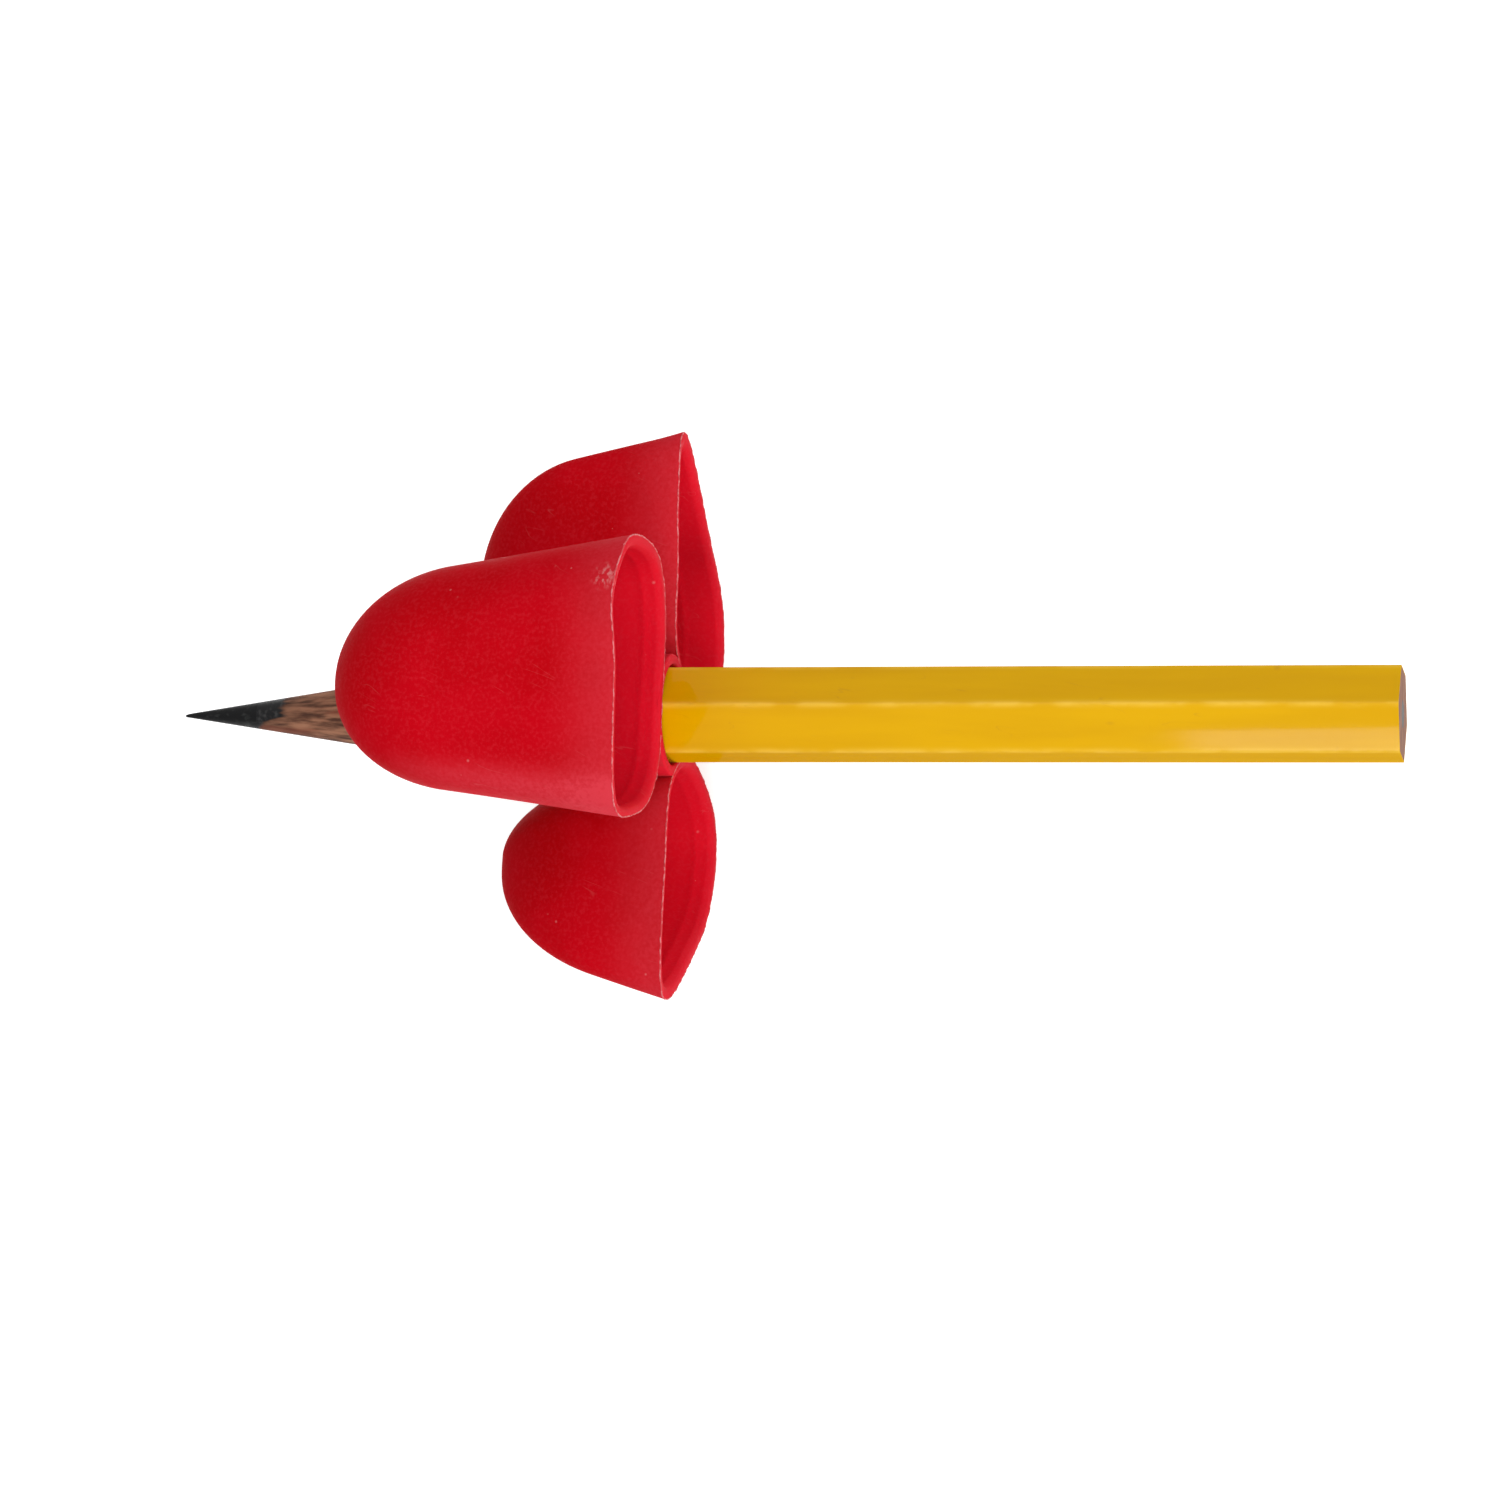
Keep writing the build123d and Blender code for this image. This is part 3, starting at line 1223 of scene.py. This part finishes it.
@dataclass(frozen=True)
class Pencil:
    """The hexagonal pencil: lead, two glued slats and lacquer."""

    lacquer: LacquerFinish
    wood: WoodFinish
    graphite: GraphiteFinish
    across_flats: float = 7.0
    edge_radius: float = 0.5
    face_bulge: float = 0.03
    # Width of the pale edges: rubbed lacquer and a painted highlight.
    edge_rub_and_highlight_width: float = 0.22
    lacquer_thickness: float = 0.12
    lead_diameter: float = 2.2
    cone_half_angle: float = 8.8
    point_radius: float = 0.12
    wear_angle: float = 17.0
    wear_offset: float = 0.05
    half_face: float = math.pi / 6
    around: int = 288
    barrel_rows: int = 12
    point_rows: int = 24
    crease: float = 25.0
    lead_crease: float = 30.0

    def section(self, flats: float, turns: np.ndarray) -> np.ndarray:
        """Give the rounded hexagon's radius.

        Args:
            flats: Width across the flats.
            turns: Angles from +Y towards +Z.

        Returns:
            The radius at each angle.
        """
        soft, half = self.edge_radius, self.half_face
        from_flat = np.abs((turns + half) % (2 * half) - half)
        bulge = self.face_bulge * (1 - (from_flat / half) ** 2)
        flat = (flats / 2 - self.face_bulge + bulge) / np.cos(from_flat)
        centre = (flats / 2 - soft) / math.cos(half)
        to_corner = half - from_flat
        across = centre * np.sin(to_corner)
        rounded = centre * np.cos(to_corner) + np.sqrt(np.maximum(soft**2 - across**2, 0.0))
        in_arc = to_corner < math.atan2(soft / 2, centre + soft * math.cos(half))
        return np.where(in_arc, np.minimum(flat, rounded), flat)

    def front(self, radius: Numbers) -> Numbers:
        """Give where the sharpened cone reaches a radius.

        Args:
            radius: The radius.

        Returns:
            The x of the cone there.
        """
        return -PENCIL_LENGTH + (radius - self.point_radius) / math.tan(math.radians(self.cone_half_angle))

    def coat(self) -> Object:
        """Build the lacquer with its scalloped front.

        Returns:
            The lacquer.
        """
        turns = full_turn(self.around)
        outer = self.section(self.across_flats, turns)
        inner = self.section(self.across_flats - 2 * self.lacquer_thickness, turns)
        spread = np.linspace(0.0, 1.0, self.barrel_rows)
        rows = [around_axis(self.front(outer) * (1 - share), outer, turns) for share in spread]
        rows += [around_axis(self.front(inner) * share, inner, turns) for share in spread]
        faces = grid_faces(len(rows), self.around, True, True)
        obj = new_object("lacquer", np.vstack(rows), faces, self.crease)
        # Mask for the pale edges: rubbed lacquer and a painted highlight along each edge.
        to_edge = np.abs(turns % (2 * self.half_face) - self.half_face) * self.across_flats / 2
        rubbed = np.exp(-((to_edge / self.edge_rub_and_highlight_width) ** 2))
        edge = obj.data.attributes.new("edge", "FLOAT", "POINT")
        edge.data.foreach_set("value", np.tile(rubbed, len(rows)))
        return obj

    def slat(self, name: str, side: SlatSide) -> Object:
        """Build one casing slat.

        Args:
            name: The object's name.
            side: The side of the glue line.

        Returns:
            The slat.
        """
        count = self.around // 2 + 1
        turns = np.linspace(side.value, side.value + math.pi, count) - math.pi / 2
        core = self.section(self.across_flats - 2 * self.lacquer_thickness, turns)
        lead = self.lead_diameter / 2
        spread = np.linspace(0.0, 1.0, self.barrel_rows)
        sizes = [lead + (core - lead) * share for share in spread]
        rows = [around_axis(self.front(size), size, turns) for size in sizes]
        rows += [around_axis(self.front(core) * (1 - share), core, turns) for share in spread[1:]]
        rows += [around_axis(0.0, lead, turns)]
        faces = grid_faces(len(rows), count, True, False)
        faces.append(tuple(row * count for row in range(len(rows))))
        faces.append(tuple(row * count + count - 1 for row in reversed(range(len(rows)))))
        return new_object(name, np.vstack(rows), faces, self.crease)

    def lead(self) -> Object:
        """Build the lead with its point, worn flat on one side.

        Returns:
            The lead.
        """
        radius, columns = self.lead_diameter / 2, self.around // 3
        turns = full_turn(columns)
        sizes = np.linspace(self.point_radius, radius, self.point_rows)
        rows = [around_axis(self.front(size), size, turns) for size in sizes]
        places = np.linspace(self.front(radius), 0.0, self.barrel_rows)
        rows += [around_axis(x, radius, turns) for x in places[1:]]
        points = np.vstack(rows)
        turn = math.radians(self.wear_angle)
        normal = np.array((-math.sin(turn), math.cos(turn), 0.0))
        past = (points - np.array((-PENCIL_LENGTH, self.wear_offset, 0.0))) @ normal
        points -= np.outer(np.maximum(past, 0.0), (0.0, 1.0 / normal[1], 0.0))
        faces = grid_faces(len(rows), columns, False, True)
        faces.append(tuple(reversed(range(columns))))
        faces.append(tuple((len(rows) - 1) * columns + column for column in range(columns)))
        return new_object("lead", points, faces, self.lead_crease)

    def build(self) -> list[Object]:
        """Build and finish the pencil's pieces.

        Returns:
            The pieces.
        """
        wood = self.wood.build()
        made = (
            (self.coat(), "lacquer_coat", Slot.LACQUER, self.lacquer.build()),
            (self.slat("slat_left", SlatSide.LEFT), "casing_slat_left", Slot.WOOD, wood),
            (self.slat("slat_right", SlatSide.RIGHT), "casing_slat_right", Slot.WOOD, wood),
            (self.lead(), "lead_core", Slot.GRAPHITE, self.graphite.build()),
        )
        pieces = []
        for obj, node, slot, material in made:
            obj.data.materials.append(material)
            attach(obj, Body.PENCIL.value)
            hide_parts(node)
            pieces.append(obj)
        return pieces


@dataclass(frozen=True)
class Lamp:
    """One soft area lamp, in metres and watts."""

    name: str
    place: Triple
    width: float
    power: float

    def build(self, target: Vector) -> None:
        """Add the lamp.

        Args:
            target: The point it faces.
        """
        data = bpy.data.lights.new(self.name, "AREA")
        data.shape, data.size, data.energy = "SQUARE", self.width, self.power
        obj = add_object(self.name, data)
        obj.location = target + Vector(self.place)
        obj.rotation_euler = Vector(self.place).to_track_quat("Z", "Y").to_euler()


@dataclass(frozen=True)
class Studio:
    """Floor, light and camera: the floor, lamps and target in metres, the camera in millimetres."""

    white: Colour = (1.0, 1.0, 1.0)
    floor_z: float = -0.0178
    floor_size: float = 6.0
    floor_colour: Colour = (0.86, 0.86, 0.86)
    floor_roughness: float = 0.9
    floor_glow: float = 0.6
    sky: float = 0.36
    lamps: tuple[Lamp, ...] = (
        Lamp("key", (0.081, -0.424, 0.265), 0.2, 1.0),
        Lamp("side", (0.38, -0.06, 0.32), 0.4, 1.35),
        Lamp("top", (-0.02, 0.24, 0.5), 0.5, 1.1),
    )
    target: Triple = (-0.058, 0.0, 0.0)
    swing: float = 12.5
    tilt: float = 12.0
    distance: float = 390.0
    aim_right: float = 6.08
    aim_up: float = -2.8
    lens: float = 117.0
    sensor: float = 36.0
    clip: Span = (0.01, 20.0)

    def seen(self, graph: Graph) -> Socket:
        """Give a mask of rays that should see the background.

        Args:
            graph: The tree to add it to.

        Returns:
            The mask's socket.
        """
        path = graph.add("ShaderNodeLightPath")
        mask = graph.calc("MAXIMUM", path["Is Camera Ray"], path["Is Glossy Ray"])
        return graph.calc("MAXIMUM", mask, path["Is Transmission Ray"])

    def floor(self) -> None:
        """Lay the pale floor."""
        half = self.floor_size / 2
        corners = ((-half, -half), (half, -half), (half, half), (-half, half))
        mesh = bpy.data.meshes.new("floor")
        mesh.from_pydata([(x, y, self.floor_z) for x, y in corners], [], [(0, 1, 2, 3)])
        obj = add_object("floor", mesh)
        material = bpy.data.materials.new("floor")
        material.use_nodes = True
        graph = Graph(material.node_tree)
        surface = {
            "Base Color": self.floor_colour,
            "Roughness": self.floor_roughness,
            "Specular IOR Level": 0.0,
            "Emission Color": self.white,
            "Emission Strength": graph.calc("MULTIPLY", self.seen(graph), self.floor_glow),
        }
        graph.feed(material.node_tree.nodes["Principled BSDF"], surface)
        mesh.materials.append(material)

    def world(self) -> None:
        """Set the even light from all round, white where it is seen."""
        world = bpy.data.worlds.new("studio")
        world.use_nodes = True
        graph = Graph(world.node_tree)
        strength = graph.fade(self.seen(graph), 0.0, 1.0, self.sky, 1.0)
        graph.feed(world.node_tree.nodes["Background"], {"Color": self.white, "Strength": strength})
        bpy.context.scene.world = world

    def camera(self) -> None:
        """Set the photo's camera."""
        tilt, swing = math.radians(self.tilt), math.radians(self.swing)
        toward_top = Vector((0.0, -math.sin(tilt), math.cos(tilt)))
        up = Vector((0.0, math.cos(tilt), math.sin(tilt)))
        right = math.cos(swing) * Vector((1.0, 0.0, 0.0)) - math.sin(swing) * toward_top
        toward = math.sin(swing) * Vector((1.0, 0.0, 0.0)) + math.cos(swing) * toward_top
        data = bpy.data.cameras.new("camera")
        data.sensor_width, data.lens = self.sensor, self.lens
        data.clip_start, data.clip_end = self.clip
        obj = add_object("camera", data)
        offset = self.aim_right * right + self.aim_up * up + self.distance * toward
        turn = Matrix((right, up, toward)).transposed()
        obj.matrix_world = Matrix.Translation(Vector(self.target) + offset * MM) @ turn.to_4x4()
        bpy.context.scene.camera = obj

    def build(self) -> None:
        """Set up the whole stage."""
        self.floor()
        self.world()
        for lamp in self.lamps:
            lamp.build(Vector(self.target))
        self.camera()
        bpy.context.scene.view_settings.view_transform = "Standard"


def main() -> None:
    """Build the object and its stage."""
    logging.basicConfig(level=logging.INFO, format="%(message)s")
    shared = SharedNodes()
    grip = GripMoulding(RubberFinish(shared)).build()
    flash = RimFlash(FlashFinish(shared)).build()
    pencil = Pencil(LacquerFinish(shared), WoodFinish(shared), GraphiteFinish(shared)).build()
    for obj in (grip, flash, *pencil):
        LOG.info("%s: %d faces", obj.name, len(obj.data.polygons))
    Studio().build()


if __name__ == "__main__":
    main()
